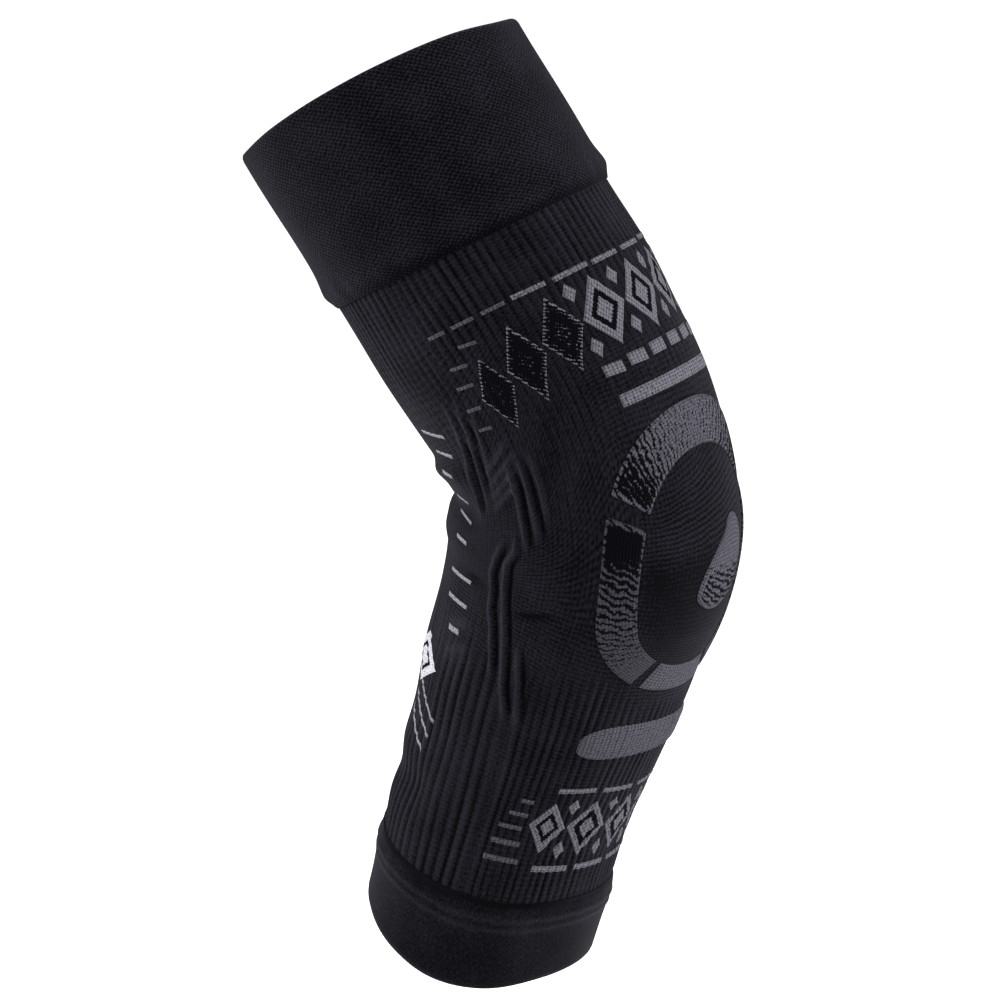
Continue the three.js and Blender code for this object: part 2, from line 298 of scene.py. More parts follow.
# %% Folds
DEGREE_LENGTH = 0.77
NARROW, FOLD_END = 3, 7
FOLDS = [
    # width, height, and the stations and angles it passes
    (0.9, 1.2, [(143, 103), (134, 107.5), (128, 109), (121, 107), (116, 106.5), (110, 103.5), (93, 97.5)]),
    (0.9, 1.4, [(146, 98), (139, 98), (133, 102), (125, 101.5), (119, 100), (108, 96), (95, 92), (82, 87)]),
    (0.9, 1.1, [(110, 90), (97, 85.3), (80, 81)]),
    (0.8, -0.8, [(142, 100.5), (134, 105), (128, 106.6), (121, 104.6), (116, 104), (110, 101), (95, 95.5)]),
    (0.8, -0.9, [(139, 95.5), (133, 99.5), (125, 99), (120, 98), (108, 93.3), (95, 89.5), (82, 84.5)]),
    (0.8, -0.7, [(108, 87.3), (97, 82.8), (82, 79)]),
    (1.0, -0.9, [(116.5, 97), (118.5, 90), (122.5, 75)]),
    (1.0, 0.9, [(195, 109), (175, 115), (165, 118), (148, 117)]),
    (0.9, -0.7, [(184, 111), (169, 114), (148, 114.5)]),
    (0.9, 0.8, [(196, 103), (172, 110.5), (155, 112)]),
    (0.9, -0.5, [(188, 103), (172, 108), (158, 109.5)]),
    (0.9, 0.7, [(192, 98), (178, 103), (164, 106)]),
    (0.9, 1.0, [(170, 96.5), (151, 95.2), (137, 92.5)]),
    (0.8, -0.7, [(167, 93.5), (151, 92.6), (139, 90.5)]),
    (0.9, 1.0, [(172, 91), (154, 89.8), (141, 87.5)]),
    (0.8, -0.6, [(169, 88.5), (154, 87.3), (142, 85)]),
    (0.9, 0.8, [(172, 86), (146, 83.5)]),
    (1.1, 1.2, [(177, 88), (165, 110)]),
    (1.1, 1.2, [(172.5, 88), (160.5, 110)]),
    (1.1, 1.2, [(168, 90), (156, 110)]),
    (1.1, 1.2, [(163.5, 91), (151.5, 110)]),
    (6, 2.0, [(174, 180), (168, 128)]),
    (6, -1.8, [(157, 180), (149, 126)]),
    (8, 1.0, [(128, 180), (130, 136)]),
    (7, -1.8, [(45, 180), (46, 128)]),
    (2.2, 0.8, [(100, 132), (109, 112)]),
    (2.0, 0.6, [(92, 130), (101, 110)]),
    (2.0, -0.7, [(119, 125), (124, 110)]),
]
print("folds:", len(FOLDS), "of them wide:", sum(fold[0] >= NARROW for fold in FOLDS))


# %% Height of the folds
def off_line(x, y, line):
    """How far places are from a line through points, all in millimetres of knit."""
    off = np.full(x.shape, np.inf)
    for start, end in zip(line, line[1:]):
        way = end - start
        share = np.clip(((x - start[0]) * way[0] + (y - start[1]) * way[1]) / (way @ way), 0, 1)
        off = np.minimum(off, np.hypot(x - start[0] - share * way[0], y - start[1] - share * way[1]))
    return off


def folds(station, angle, narrowest=0, widest=np.inf):
    """The folds with widths in this range. Narrow ones die away towards both ends."""
    x, y = np.broadcast_arrays(station, np.abs(angle) * DEGREE_LENGTH)
    height = np.zeros(x.shape)
    for width, rise, places in FOLDS:
        if not narrowest <= width <= widest:
            continue
        line = [np.array([place, turn * DEGREE_LENGTH]) for place, turn in places]
        shape = rise * bell(off_line(x, y, line), 0, width)
        if width < NARROW:
            to_end = [np.hypot(x - end[0], y - end[1]) for end in (line[0], line[-1])]
            shape = shape * smoothstep(np.minimum(*to_end), 0, FOLD_END)
        height = height + shape
    return height


print("height of the wide fold in the crook:", folds(174.0, 180.0).round(1), "mm")

# %% [markdown]
# ## All of the relief
#
# Worn knit is never quite even, so slow waves come on top. Displacing the mesh with a texture would do
# for the tube alone. One function for ribs, folds and waves together can be asked for the height at any
# place, so that the pads and motifs can lie on the same ground later.

# %% Relief
LOWER_CUFF_LENGTH, UPPER_CUFF_LENGTH = 21, 48
RELIEF_END = (1, 7)
SLOW_WAVE, SLOW_LENGTH, SLOWER_LENGTH = 0.18, 17, 40
QUICK_WAVES = [(0.12, 7.3, 5)]


def unevenness(station, angle):
    """Waves of up to a third of a millimetre."""
    turn = np.radians(angle)
    slow = np.sin(station / SLOW_LENGTH + 2 * np.cos(turn)) * np.sin(3 * turn + station / SLOWER_LENGTH)
    return SLOW_WAVE * slow + waves(QUICK_WAVES, station, angle)


def relief(station, angle):
    """All of it, dying away where the cuffs lap over the tube."""
    from_end = np.minimum(station - LOWER_CUFF_LENGTH, RIM - UPPER_CUFF_LENGTH - station)
    shape = ribs(station, angle) + folds(station, angle) + unevenness(station, angle)
    return shape * smoothstep(from_end, *RELIEF_END)


sample = relief(np.arange(LOWER_CUFF_LENGTH, RIM - UPPER_CUFF_LENGTH)[:, None], np.arange(-180, 180))
print(f"relief from {sample.min():.1f} to {sample.max():.1f} mm")

# %% [markdown]
# ## From points to meshes
#
# A wall around the arm is a loop of rings: up the outside, over the edge, down the inside. You could
# build it face by face with bmesh, but numpy hands Blender whole lists at once, which is far quicker.
# Each corner also gets its place in millimetres of knit as a UV map, so that the stitches in the
# materials have their real size.

# %% Mesh maker
CORNERS = 4


def new_object(name, points, faces, uv, paint=None):
    """A smooth mesh from millimetres, faces of four corners, and a UV pair for each face corner."""
    mesh = bpy.data.meshes.new(name)
    mesh.vertices.add(len(points))
    mesh.vertices.foreach_set("co", (points * MM).ravel())
    mesh.loops.add(faces.size)
    mesh.loops.foreach_set("vertex_index", faces.ravel().astype(np.int32))
    mesh.polygons.add(len(faces))
    mesh.polygons.foreach_set("loop_start", np.arange(0, faces.size, CORNERS, dtype=np.int32))
    mesh.update(calc_edges=True)
    mesh.polygons.foreach_set("use_smooth", np.ones(len(faces), dtype=bool))
    mesh.uv_layers.new(name="knit_mm").data.foreach_set("uv", uv.ravel())
    for channel, values in (paint or {}).items():
        mesh.attributes.new(channel, "FLOAT", "POINT").data.foreach_set("value", values)
    made = bpy.data.objects.new(name, mesh)
    bpy.context.collection.objects.link(made)
    return made


def triangles(piece):
    """How many triangles a piece has."""
    return sum(len(polygon.vertices) - 2 for polygon in piece.data.polygons)


print("meshes have faces of", CORNERS, "corners")

# %% Wall maker
KNIT_AROUND = 280.0


def angles_around(columns):
    """The angles of columns spread evenly around, from the crook on."""
    return -180 + 360 * np.arange(columns) / columns


def wall(name, stations, heights, columns, courses=None, paint=None):
    """A closed wall: each row of the loop has a station, and a height for every column."""
    rows = len(stations)
    points = on_sleeve(stations[:, None], angles_around(columns)[None, :], heights).reshape(-1, 3)
    row, column = np.meshgrid(np.arange(rows), np.arange(columns), indexing="ij")
    next_row, next_column = (row + 1) % rows, (column + 1) % columns
    corners = [(row, column), (row, next_column), (next_row, next_column), (next_row, column)]
    faces = np.stack([r * columns + c for r, c in corners], -1).reshape(-1, CORNERS)
    across = np.stack([column, column + 1, column + 1, column], -1) * KNIT_AROUND / columns
    courses = np.broadcast_to(stations[:, None], row.shape) if courses is None else courses
    along = np.stack([courses[r, c] for r, c in corners], -1)
    uv = np.stack([across, along], -1).reshape(-1, CORNERS, 2)
    return new_object(name, points, faces[:, ::-1], uv[:, ::-1], paint)


print(f"one turn of knit is {KNIT_AROUND:.0f} mm on the map")

# %% [markdown]
# ## Rows of loops
#
# The rows of loops, or courses, are not straight around the arm. Beside the elbow they fan out towards
# the front, as at the heel of a sock, and on the elbow itself they lie closer. Bent rows could be
# painted as a picture, but here the map of the knit is bent: each place gets the millimetres of knit
# that lie below it.

# %% Courses
FAN_STATION = 121
FAN_FRONT, FAN_CHANGE, FAN_SIDES = 0.58, 1.1, (48, 112)
FAN_MIDDLE, FAN_LENGTH = 145, 42
CLOSER_REACH, CLOSER, STILL_CLOSER, CLOSER_SIDES = 0.8, 1.1, 0.3, (-15, 45)


def courses_at(station, angle):
    """Millimetres of knit along the arm, counted in rows of loops."""
    fan = FAN_FRONT - FAN_CHANGE * smoothstep(np.abs(angle), *FAN_SIDES)
    fan = fan * bell(station, FAN_MIDDLE, FAN_LENGTH)
    closer = CLOSER + STILL_CLOSER * smoothstep(angle, *CLOSER_SIDES)
    stretch = np.where(ring_reach(station, angle) < CLOSER_REACH, closer, 1 - fan)
    return FAN_STATION + (station - FAN_STATION) * stretch


print("knit below station 160, from crook to side:", courses_at(160, np.array([180, 90, 60])).round(1))

# %% [markdown]
# ## The ribbed tube
#
# On the real sleeve this is one tube, knitted in the round. A Screw modifier could turn a profile
# around an axis, but only around a straight one. The tube has 480 columns, five to a rib, and a row
# each 1.3 mm, which is enough for ribs and folds and stays just within the triangles that one piece may
# have. The lining is plain and follows the wide folds only.

# %% Rows and columns of the tube
KNIT_WALL = 1.6
TUBE_COLUMNS = 5 * RIBS
OUTSIDE_ROWS, LINING_ROWS = 172, 32
tube_low, tube_high = LOWER_CUFF_LENGTH, RIM - UPPER_CUFF_LENGTH
outside = np.linspace(tube_low, tube_high, OUTSIDE_ROWS)
lining = np.linspace(tube_high, tube_low, LINING_ROWS)
tube_stations = np.concatenate([outside, lining])
tube_angles = angles_around(TUBE_COLUMNS)
tube_heights = np.concatenate(
    [
        relief(outside[:, None], tube_angles[None, :]),
        folds(lining[:, None], tube_angles[None, :], narrowest=NARROW) - KNIT_WALL,
    ]
)
print("tube rows and columns:", tube_heights.shape)

# %% [markdown]
# ## Numbers for the yarn
#
# Light and shade are painted into the yarn: paler on ridges, where light catches them, and darker in
# furrows, where shade falls. A material could guess that from the mesh, but here you know it, so each
# point carries three numbers: how much painted light or shade and tone it has, how plain its loops are
# to see, and how deep the groove between their columns is. On the ribs the loops are drawn tight and
# hardly show. On the elbow they show as fine arcs above, and it is smooth below.

# %% Tube
ELBOW_SMOOTH, ARCS_FROM = (0.55, 0.75), (134, 143)
RIB_TIGHTENS = 0.7
RIB_PAINTED_SHADE, FOLD_PAINTED_SHADE, TIGHT_CREST = 0.85, 0.45, 0.15
ELBOW_SHADE, ARC_SHADE = 0.15, 0.1
ARC_LOOPS, SMOOTH_LOOPS = 0.8, 0.45
GROOVE, ARC_GROOVE = 1.4, 0.85
tube_places = tube_stations[:, None], tube_angles[None, :]
elbow = 1 - smoothstep(ring_reach(*tube_places), *ELBOW_SMOOTH)
arcs = smoothstep(tube_stations[:, None], *ARCS_FROM) * elbow
open_loops = 1 - RIB_TIGHTENS * sum(rib_depths(*tube_places))
# Painted light and shade: paler on the ridges of ribs and narrow folds, darker in their furrows; painted
# shade on the elbow and its arcs, and a lighter tone where loops are tight.
painted_shade_and_tone = RIB_PAINTED_SHADE * ribs(*tube_places) + FOLD_PAINTED_SHADE * folds(*tube_places, widest=NARROW)
painted_shade_and_tone = painted_shade_and_tone + TIGHT_CREST * (1 - open_loops) - ELBOW_SHADE * elbow - ARC_SHADE * arcs
shown_loops = open_loops * (1 + ARC_LOOPS * arcs - SMOOTH_LOOPS * (elbow - arcs))
groove = GROOVE * open_loops * (1 - ARC_GROOVE * arcs)
tube_paint = {"painted_shade_and_tone": painted_shade_and_tone.ravel(), "loops": shown_loops.ravel(), "groove": groove.ravel()}
tube_courses = courses_at(*tube_places)
tube = wall("ribbed_tube", tube_stations, tube_heights, TUBE_COLUMNS, tube_courses, tube_paint)
print("tube triangles:", triangles(tube))

# %% [markdown]
# ## The welt cuffs
#
# A welt is a double layer of knit, folded over at the rim and linked to the tube at its other edge,
# where it laps over the end of the tube. That lapping edge swells, sinks softly into the ribs and is a
# little puckered; the lower cuff also has two lines of stitches beside it. A Solidify modifier would
# give a band with equal square edges, so the profile is walked as a loop instead: around the lapping
# edge, along the outside, around the rim, back along the inside.

# %% Profile of a cuff
GAP = 0.3
LAP_LOW, LAP_HIGH, LAP_ROUND = 0.12, 0.55, 0.25
LAP_RISE, SWELL_PLACE, SWELL_LENGTH = (-1.5, 5), 5, 5
RIM_ROUND = 2.2
CUFF_ROW, ROUND_ROWS, LINING_STEPS = 0.6, 7, 8
STITCH_LINES, STITCH_WIDTH = (4.6, 7.4), 0.7


def stitches(from_lap):
    """A narrow ridge along each line of stitches."""
    return sum(bell(from_lap, line, STITCH_WIDTH) for line in STITCH_LINES)


def cuff_profile(length, lap_end, proud, welt, stitch):
    """Distances from the rim, and heights, all around the double layer."""
    turn = np.linspace(-np.pi / 2, np.pi / 2, ROUND_ROWS)
    lap_middle, lap_half = (LAP_HIGH + LAP_LOW) / 2, (LAP_HIGH - LAP_LOW) / 2
    loop = [(lap_end + LAP_ROUND * np.cos(a), lap_middle + lap_half * np.sin(a)) for a in turn]
    for distance in np.linspace(lap_end, RIM_ROUND, int(lap_end / CUFF_ROW))[1:]:
        from_lap = lap_end - distance
        swell = welt * bell(from_lap, SWELL_PLACE, SWELL_LENGTH)
        rise = (proud - LAP_HIGH + swell) * smoothstep(from_lap, *LAP_RISE)
        loop.append((distance, LAP_HIGH + rise + stitch * stitches(from_lap)))
    middle, half = (proud - KNIT_WALL) / 2, (proud + KNIT_WALL) / 2
    loop += [(RIM_ROUND * (1 - np.cos(a)), middle - half * np.sin(a)) for a in turn[1:]]
    loop += [(distance, -KNIT_WALL) for distance in np.linspace(RIM_ROUND, length - GAP, LINING_STEPS)[1:]]
    loop.append((length - GAP, LAP_LOW))
    return loop


print("lines of stitches, in mm from the lap:", STITCH_LINES)

# %% Cuffs
CUFF_COLUMNS = 360
PUCKER_PLACE, PUCKER_LENGTH = 4, 4
PUCKERS = [
    # amount, number around, shift
    (1, 23, 0),
    (0.7, 37, 1),
    (0.5, 11, 0),
]
SLACK, SLACK_WAVES, SLACK_LENGTH = 0.25, 5, 9
LAP_SHADE = 0.4


def cuff(name, rim, inwards, length, lap, proud, welt, pucker, stitch):
    """A cuff whose rim is at a station, and which laps inwards, by 1 or -1, over the tube."""
    lap_end = length + lap
    loop = cuff_profile(length, lap_end, proud, welt, stitch)
    distance, height = np.array(loop if inwards < 0 else loop[::-1]).T[:, :, None]
    from_lap, outer = lap_end - distance, height > LAP_HIGH
    around = np.radians(angles_around(CUFF_COLUMNS))
    puckers = sum(amount * np.sin(count * around + shift) for amount, count, shift in PUCKERS)
    heights = height + pucker * bell(from_lap, PUCKER_PLACE, PUCKER_LENGTH) * outer * puckers
    heights = heights + SLACK * np.sin(SLACK_WAVES * around + distance / SLACK_LENGTH) * outer
    # Painted light and shade: paler along the lines of stitches, and painted shade beside the lapping edge.
    painted_shade_and_tone = stitch * stitches(from_lap) - LAP_SHADE * bell(from_lap, 0, lap / 3)
    paint = {"painted_shade_and_tone": np.broadcast_to(painted_shade_and_tone, heights.shape).ravel()}
    return wall(name, rim + inwards * distance[:, 0], heights, CUFF_COLUMNS, paint=paint)


upper_cuff = cuff(
    "upper_welt", RIM, -1, UPPER_CUFF_LENGTH, lap=7, proud=1.5, welt=0.9, pucker=0.12, stitch=0
)
lower_cuff = cuff(
    "lower_welt", 0, 1, LOWER_CUFF_LENGTH, lap=4, proud=1.1, welt=0.4, pucker=0.06, stitch=0.25
)
print("cuff triangles:", triangles(upper_cuff), triangles(lower_cuff))

# %% [markdown]
# ## Raised patches
#
# Pads and motifs are patches that lie on the knit. A Shrinkwrap modifier could press flat shapes onto
# the tube, but you would have to aim each of them. Here a patch is a slab bent onto the sleeve: you give
# a function that turns two shares, across and along, into a station and an angle. The slab follows the
# ribs and folds below it, and its upper face sinks at the border. Each point also carries how dark it
# is, which the material turns into strokes of black yarn.

# %% Faces of a slab
def slab_faces(rows, columns):
    """Closed faces over a grid of points and a second such grid under it."""
    t = np.arange(rows * columns).reshape(rows, columns)
    u = t + rows * columns
    quads = [
        (t[:-1, :-1], t[1:, :-1], t[1:, 1:], t[:-1, 1:]),
        (u[:-1, :-1], u[:-1, 1:], u[1:, 1:], u[1:, :-1]),
        (t[1:, 0], t[:-1, 0], u[:-1, 0], u[1:, 0]),
        (t[:-1, -1], t[1:, -1], u[1:, -1], u[:-1, -1]),
        (t[0, :-1], t[0, 1:], u[0, 1:], u[0, :-1]),
        (t[-1, 1:], t[-1, :-1], u[-1, :-1], u[-1, 1:]),
    ]
    return np.concatenate([np.stack(q, -1).reshape(-1, CORNERS) for q in quads])


print("a slab of 2 by 2 points has", len(slab_faces(2, 2)), "faces")

# %% Slab maker
PATCH_GAP, BORDER_THICK = 0.06, 0.3


def slab(place, across, along, thick, dark, gap=PATCH_GAP):
    """Points, faces, UV pairs and darkness of one closed patch."""
    a, b = np.meshgrid(np.linspace(0, 1, across + 1), np.linspace(0, 1, along + 1), indexing="ij")
    station, angle = place(a, b)
    ground = relief(station, angle) + gap
    crown = (1 - (2 * a - 1) ** 6) * (1 - (2 * b - 1) ** 8)
    upper = on_sleeve(station, angle, ground + thick * (BORDER_THICK + (1 - BORDER_THICK) * crown))
    under = on_sleeve(station, angle, ground)
    faces = slab_faces(*a.shape)
    points = np.concatenate([upper.reshape(-1, 3), under.reshape(-1, 3)])
    outward = (upper - under).reshape(-1, 3)[faces[0, 0]]
    corner = points[faces[0]]
    if np.dot(np.cross(corner[1] - corner[0], corner[3] - corner[0]), outward) < 0:
        faces = faces[:, ::-1]
    width = np.linalg.norm(np.diff(upper, axis=0), axis=-1).sum(0).mean()
    length = np.linalg.norm(np.diff(upper, axis=1), axis=-1).sum(1).mean()
    spread = np.stack([b * length, a * width], -1).reshape(-1, 2)
    shade = np.broadcast_to(dark(a, b), a.shape).ravel()
    return points, faces, np.concatenate([spread, spread])[faces], np.concatenate([shade, shade])


def patch_object(name, slabs):
    """Several patches as one piece."""
    points, faces, uv, shade = zip(*slabs)
    starts = np.cumsum([0] + [len(block) for block in points[:-1]])
    faces = np.concatenate([block + start for block, start in zip(faces, starts)])
    paint = {"darkness": np.concatenate(shade)}
    return new_object(name, np.concatenate(points), faces, np.concatenate(uv), paint)


print("patches lie", PATCH_GAP, "mm above the knit")

# %% [markdown]
# ## The elbow ring
#
# Around the point of the elbow a thicker knit pads the arm. It is a ring of four segments, so that it
# can bend. Their grey yarn is crossed by strokes of black, more of them towards the gaps at the sides,
# and a pale line runs along each edge. The ring could be cut from the tube's own faces, but their rows
# don't follow it, so each segment is a patch between two rounded outlines.

# %% Outline of the ring
RING_INNER = (24.3, 35.5, 2.15)
PAD_THICK = 0.8
RING_STEPS, STEPS_PER_DEGREE = 24, 0.95
EDGE_LINE, END_LINE, LINE_DARK = 0.07, 0.025, 0.42


def ring_edge(edge, turn):
    """A place on an edge of the ring, which has a length, an angle and a squareness."""
    length, angle, squareness = edge
    x, y = np.cos(turn), np.sin(turn)
    reach = (np.abs(x) ** squareness + np.abs(y) ** squareness) ** (-1 / squareness)
    return np.array([RING_STATION + length * reach * y, RING_TURN + angle * reach * x])


def ring_segment(name, start, end, dark_rows):
    """A segment between two turns, in degrees. Its darkness is given at some turns between."""

    def place(a, b):
        turn = np.radians(start + (end - start) * b)
        outer, inner = ring_edge(RING_OUTER, turn), ring_edge(RING_INNER, turn)
        return outer + (inner - outer) * a

    def dark(a, b):
        inside = np.interp(start + (end - start) * b, *zip(*dark_rows))
        border = np.minimum(np.minimum(a, 1 - a) / EDGE_LINE, np.minimum(b, 1 - b) / END_LINE)
        return np.where(border < 1, np.minimum(inside, LINE_DARK), inside)

    steps = int((end - start) * STEPS_PER_DEGREE)
    return patch_object(name, [slab(place, RING_STEPS, steps, PAD_THICK, dark)])


print(f"the ring is {2 * RING_OUTER[0]:.0f} mm long and {RING_OUTER[0] - RING_INNER[0]:.1f} mm wide on top")

# %% Ring
UPPER_DARK = [(33, 0.8), (45, 0.72), (55, 0.5), (70, 0.36), (90, 0.29)]
SIDE_DARK = [(-61, 0.05), (-54, 0.22), (-40, 0.38), (-12, 0.48), (4, 0.6), (12, 0.95), (25, 0.95)]
LOWER_DARK = [(247, 0), (293, 0)]


def across_middle(rows):
    """The same rows on the other side of the elbow."""
    return [(180 - turn, dark) for turn, dark in reversed(rows)]


pads = {
    "elbow_ring_upper": ring_segment("ring_top", 33.5, 146.5, UPPER_DARK + across_middle(UPPER_DARK)[1:]),
    "elbow_ring_left": ring_segment("ring_left", -61.5, 25, SIDE_DARK),
    "elbow_ring_right": ring_segment("ring_right", 155, 241.5, across_middle(SIDE_DARK)),
    "elbow_ring_lower": ring_segment("ring_bottom", 247, 293, LOWER_DARK),
}
print("ring triangles:", [triangles(pad) for pad in pads.values()])

# %% [markdown]
# ## Drop and bar
#
# A drop sits in the middle of the ring, a bar below it, both of the same thick knit. Their outlines
# could be drawn as curves and filled, but a filled curve has no rows of points for the ribs below. So a
# square grid is rounded into each of them by a formula.

# %% Drop and bar
DROP_STATION, DROP_TURN, DROP_LEAN = 135.6, 5, 4
DROP_HALF_LENGTH, DROP_HALF_ANGLE, DROP_TAPER = 9, 13.5, 0.3
DROP_RIM, DROP_RIM_DARK = 0.86, 0.3
DROP_DARK = [(0, 0.52), (0.4, 0.48), (0.55, 0.15)]
DROP_STEPS = 36
BAR_STATION, BAR_ARCH = 80, 3.5
BAR_HALF_LENGTH, BAR_HALF_ANGLE, BAR_ROUND = 6.3, 43, 0.88
BAR_STEPS = (14, 72)


def drop(a, b):
    """A disc, narrower and turned a little towards its top."""
    x, y = 2 * a - 1, 2 * b - 1
    station = DROP_STATION + DROP_HALF_LENGTH * y * np.sqrt(1 - x * x / 2)
    half_angle = DROP_HALF_ANGLE * (1 - DROP_TAPER * y)
    return station, DROP_TURN - DROP_LEAN * y - half_angle * x * np.sqrt(1 - y * y / 2)


def drop_dark(a, b):
    """How dark the drop is: by the table along it, with a lighter rim."""
    rim = np.maximum(np.abs(2 * a - 1), np.abs(2 * b - 1)) > DROP_RIM
    inside = np.interp(b, *zip(*DROP_DARK))
    return np.where(rim, np.minimum(inside, DROP_RIM_DARK), inside)


def bar(a, b):
    """A band across the arm, arched in the middle and rounded at both ends."""
    x, y = 2 * a - 1, 2 * b - 1
    half_length = BAR_HALF_LENGTH * np.sqrt(1 - BAR_ROUND * y**6)
    return BAR_STATION + BAR_ARCH * (1 - y * y) + half_length * x, MIDDLE + BAR_HALF_ANGLE * y


def plain(shade):
    """The same darkness all over a patch."""
    return lambda a, b: shade + 0 * a


drop_slab = slab(drop, DROP_STEPS, DROP_STEPS, PAD_THICK, drop_dark)
pads["elbow_pad"] = patch_object("drop_pad", [drop_slab])
pads["forearm_bar"] = patch_object("curved_bar", [slab(bar, *BAR_STEPS, PAD_THICK, plain(0))])
print("drop and bar triangles:", triangles(pads["elbow_pad"]), triangles(pads["forearm_bar"]))

# %% [markdown]
# ## Knitted-in motifs
#
# Above and below the elbow runs a band of nested lozenges, an old knitted pattern, with small studs and
# stripes along it and short dashes at its ends. Near the crook there are rows of pale dashes and a pale
# lozenge. In a real sleeve they are extra yarns that float on the surface. They could be colours in the
# tube's material, but yarn on top has a thickness, so here they are very thin patches.

# %% Shapes of the motifs
NESTED_LINE, NESTED_BORDER = (0.42, 0.64), 0.88
BORDER_DARK, BORDER_FOLLOWS = 0.3, 0.25


def straight(station, angle, half_length, half_angle, slant=0.0):
    """A four-sided patch, whose far end along the angle is shifted along the arm by the slant."""

    def place(a, b):
        x, y = 2 * a - 1, 2 * b - 1
        return station + half_length * x + slant * y, angle + half_angle * y

    return place


def mirrored(place):
    """The same patch on the other side of the middle line."""

    def other(a, b):
        station, angle = place(a, b)
        return station, 2 * MIDDLE - angle

    return other


def lozenge(station, angle, half_length, half_angle):
    """A patch with a corner at each end along the arm and at each side."""

    def place(a, b):
        x, y = 2 * a - 1, 2 * b - 1
        return station + half_length * (x + y) / 2, angle + half_angle * (x - y) / 2

    return place


def nested(shade):
    """A lozenge within a lozenge: a dark line between a grey border and a grey core."""

    def dark(a, b):
        reach = np.maximum(np.abs(2 * a - 1), np.abs(2 * b - 1))
        border = np.minimum(shade, BORDER_DARK + BORDER_FOLLOWS * shade)
        dark_line = (reach > NESTED_LINE[0]) & (reach < NESTED_LINE[1])
        return np.where(dark_line, 1.0, np.where(reach > NESTED_BORDER, border, shade))

    return dark


print("middle line of the motifs:", MIDDLE, "degrees")

# %% [markdown]
# ## Tables of motifs
#
# A row of the tables is one patch. The angle counts from the middle line of the motifs, and a length or
# an angle is half of what the patch measures. You could set out the patches by hand in the viewport, but
# in a table they can be read, compared and shifted. The dashes have tables of their own, because their
# yarn is dimmer.

# %% Bands of lozenges
LOZENGES = [
    # station, angle from the middle, half length, half angle, darkness
    (195.5, 0, 12.5, 10.5, 0.1),
    (196, 21.5, 12.5, 10.5, 0.15),
    (195.5, 41.5, 13, 9, 0.76),
    (193, 59, 13, 8.5, 0.8),
    (189, 75, 12, 7.5, 0.84),
    (49.5, 0, 10.5, 11, 0.1),
    (49.5, 22.5, 10, 11, 0.12),
    (49, 43, 9, 9, 0.2),
]
STUDS = [
    (205, 11, 3.5, 3, 0.15),
    (206, 32, 3.5, 3, 0.22),
    (187, 11, 3.5, 3, 0.15),
    (186.5, 32, 3.5, 3, 0.22),
    (57.5, 11, 3, 3, 0.1),
    (57, 33.5, 3, 3, 0.15),
    (41.5, 11, 3, 3, 0.1),
    (41.5, 33.5, 3, 3, 0.15),
]
STRIPES = [
    # station, angle from the middle, half length, half angle, slant, darkness
    (211.5, 9, 0.9, 7.5, 0, 0.3),
    (212, 27, 0.9, 8, 0, 0.3),
    (212.5, 45, 0.8, 7, 0.2, 0.3),
    (180, 6, 1.3, 4.5, 0, 0.2),
    (180, 18, 1.3, 4.5, 0.2, 0.2),
    (180, 30, 1.3, 4.5, 0.3, 0.22),
    (173, 0, 1.4, 33, 0, 0.25),
    (63.5, 12, 0.9, 10, 0, 0.15),
    (63.2, 35, 0.9, 9, -0.6, 0.2),
    (35.5, 12, 0.9, 10, 0, 0.2),
    (35.5, 35, 0.9, 9, 0, 0.2),
]
print("lozenges, studs and stripes:", len(LOZENGES), len(STUDS), len(STRIPES))

# %% Dashes and pale lozenge
DASH_DARKNESS = 0.28
DASHES = [
    # station, angle from the middle, half length, half angle, slant
    (212.5, 60, 0.6, 5, 0),
    (212.5, 73, 0.6, 5, 0),
    (212.5, 85, 0.6, 4, 0),
    (206, 76, 0.55, 4, 0.4),
    (201, 84, 0.55, 4, 0.4),
    (195, 86, 0.55, 4, 0.4),
    (188, 88, 0.55, 3.5, 0.4),
    (181, 88, 0.55, 3, 0.4),
    (57, 56, 0.75, 3, 0),
    (52, 58, 0.75, 4.5, 0),
    (47, 60, 0.75, 5.5, 0),
    (42, 60, 0.75, 7, 0),
    (37, 60, 0.75, 8.5, 0),
]
PALE_DASHES = [
    (187.5, 120, 0.6, 8, 2.4),
    (179, 121, 0.9, 6.5, 2.6),
    (169.5, 122, 1.0, 4.5, 1.8),
    (155, 122, 0.7, 4.5, 1.8),
    (146, 121, 0.6, 6, 2.2),
    (134.5, 120, 1.0, 4, 0.8),
    (118, 118.5, 0.6, 8.5, -0.6),
    (110, 117.5, 0.7, 8, -0.4),
    (101, 115, 1.0, 4, -0.2),
    (73, 124, 0.6, 10, 4),
    (68, 127, 0.6, 12, 4.5),
    (62.5, 129, 0.6, 12, 4.5),
]
PALE_LOZENGES = [(84, PALE_TURN, 8.5, 17, 0.05)]
print("dashes:", len(DASHES), "and pale ones:", len(PALE_DASHES))

# %% [markdown]
# ## Patches for the rows
#
# The far side of the sleeve has the same motifs. A Mirror modifier would copy them across a flat plane,
# but they are turned a little around an arm that isn't round, and the copies would not lie on it. So
# each patch away from the middle line gets a twin, with its angle mirrored.

# %% Motifs
MOTIF_THICK, MOTIF_GAP = 0.22, 0.05
FEWEST_STEPS = 4


def both_sides(rows, form, shade_of):
    """Patches for the rows, with a twin of each that lies away from the middle."""
    made = []
    for station, angle, half_length, half_angle, *more in rows:
        place = form(station, MIDDLE + angle, half_length, half_angle, *more[:-1])
        steps = [max(FEWEST_STEPS, int(size)) for size in (2 * half_length, 2 * half_angle)]
        steps = [max(steps)] * 2 if form is lozenge else steps
        for spot in [place] + ([mirrored(place)] if angle else []):
            made.append(slab(spot, *steps, MOTIF_THICK, shade_of(more[-1]), MOTIF_GAP))
    return made


def dashes(rows):
    """Patches for rows of dashes, which share one darkness."""
    return both_sides([(*row, DASH_DARKNESS) for row in rows], straight, plain)


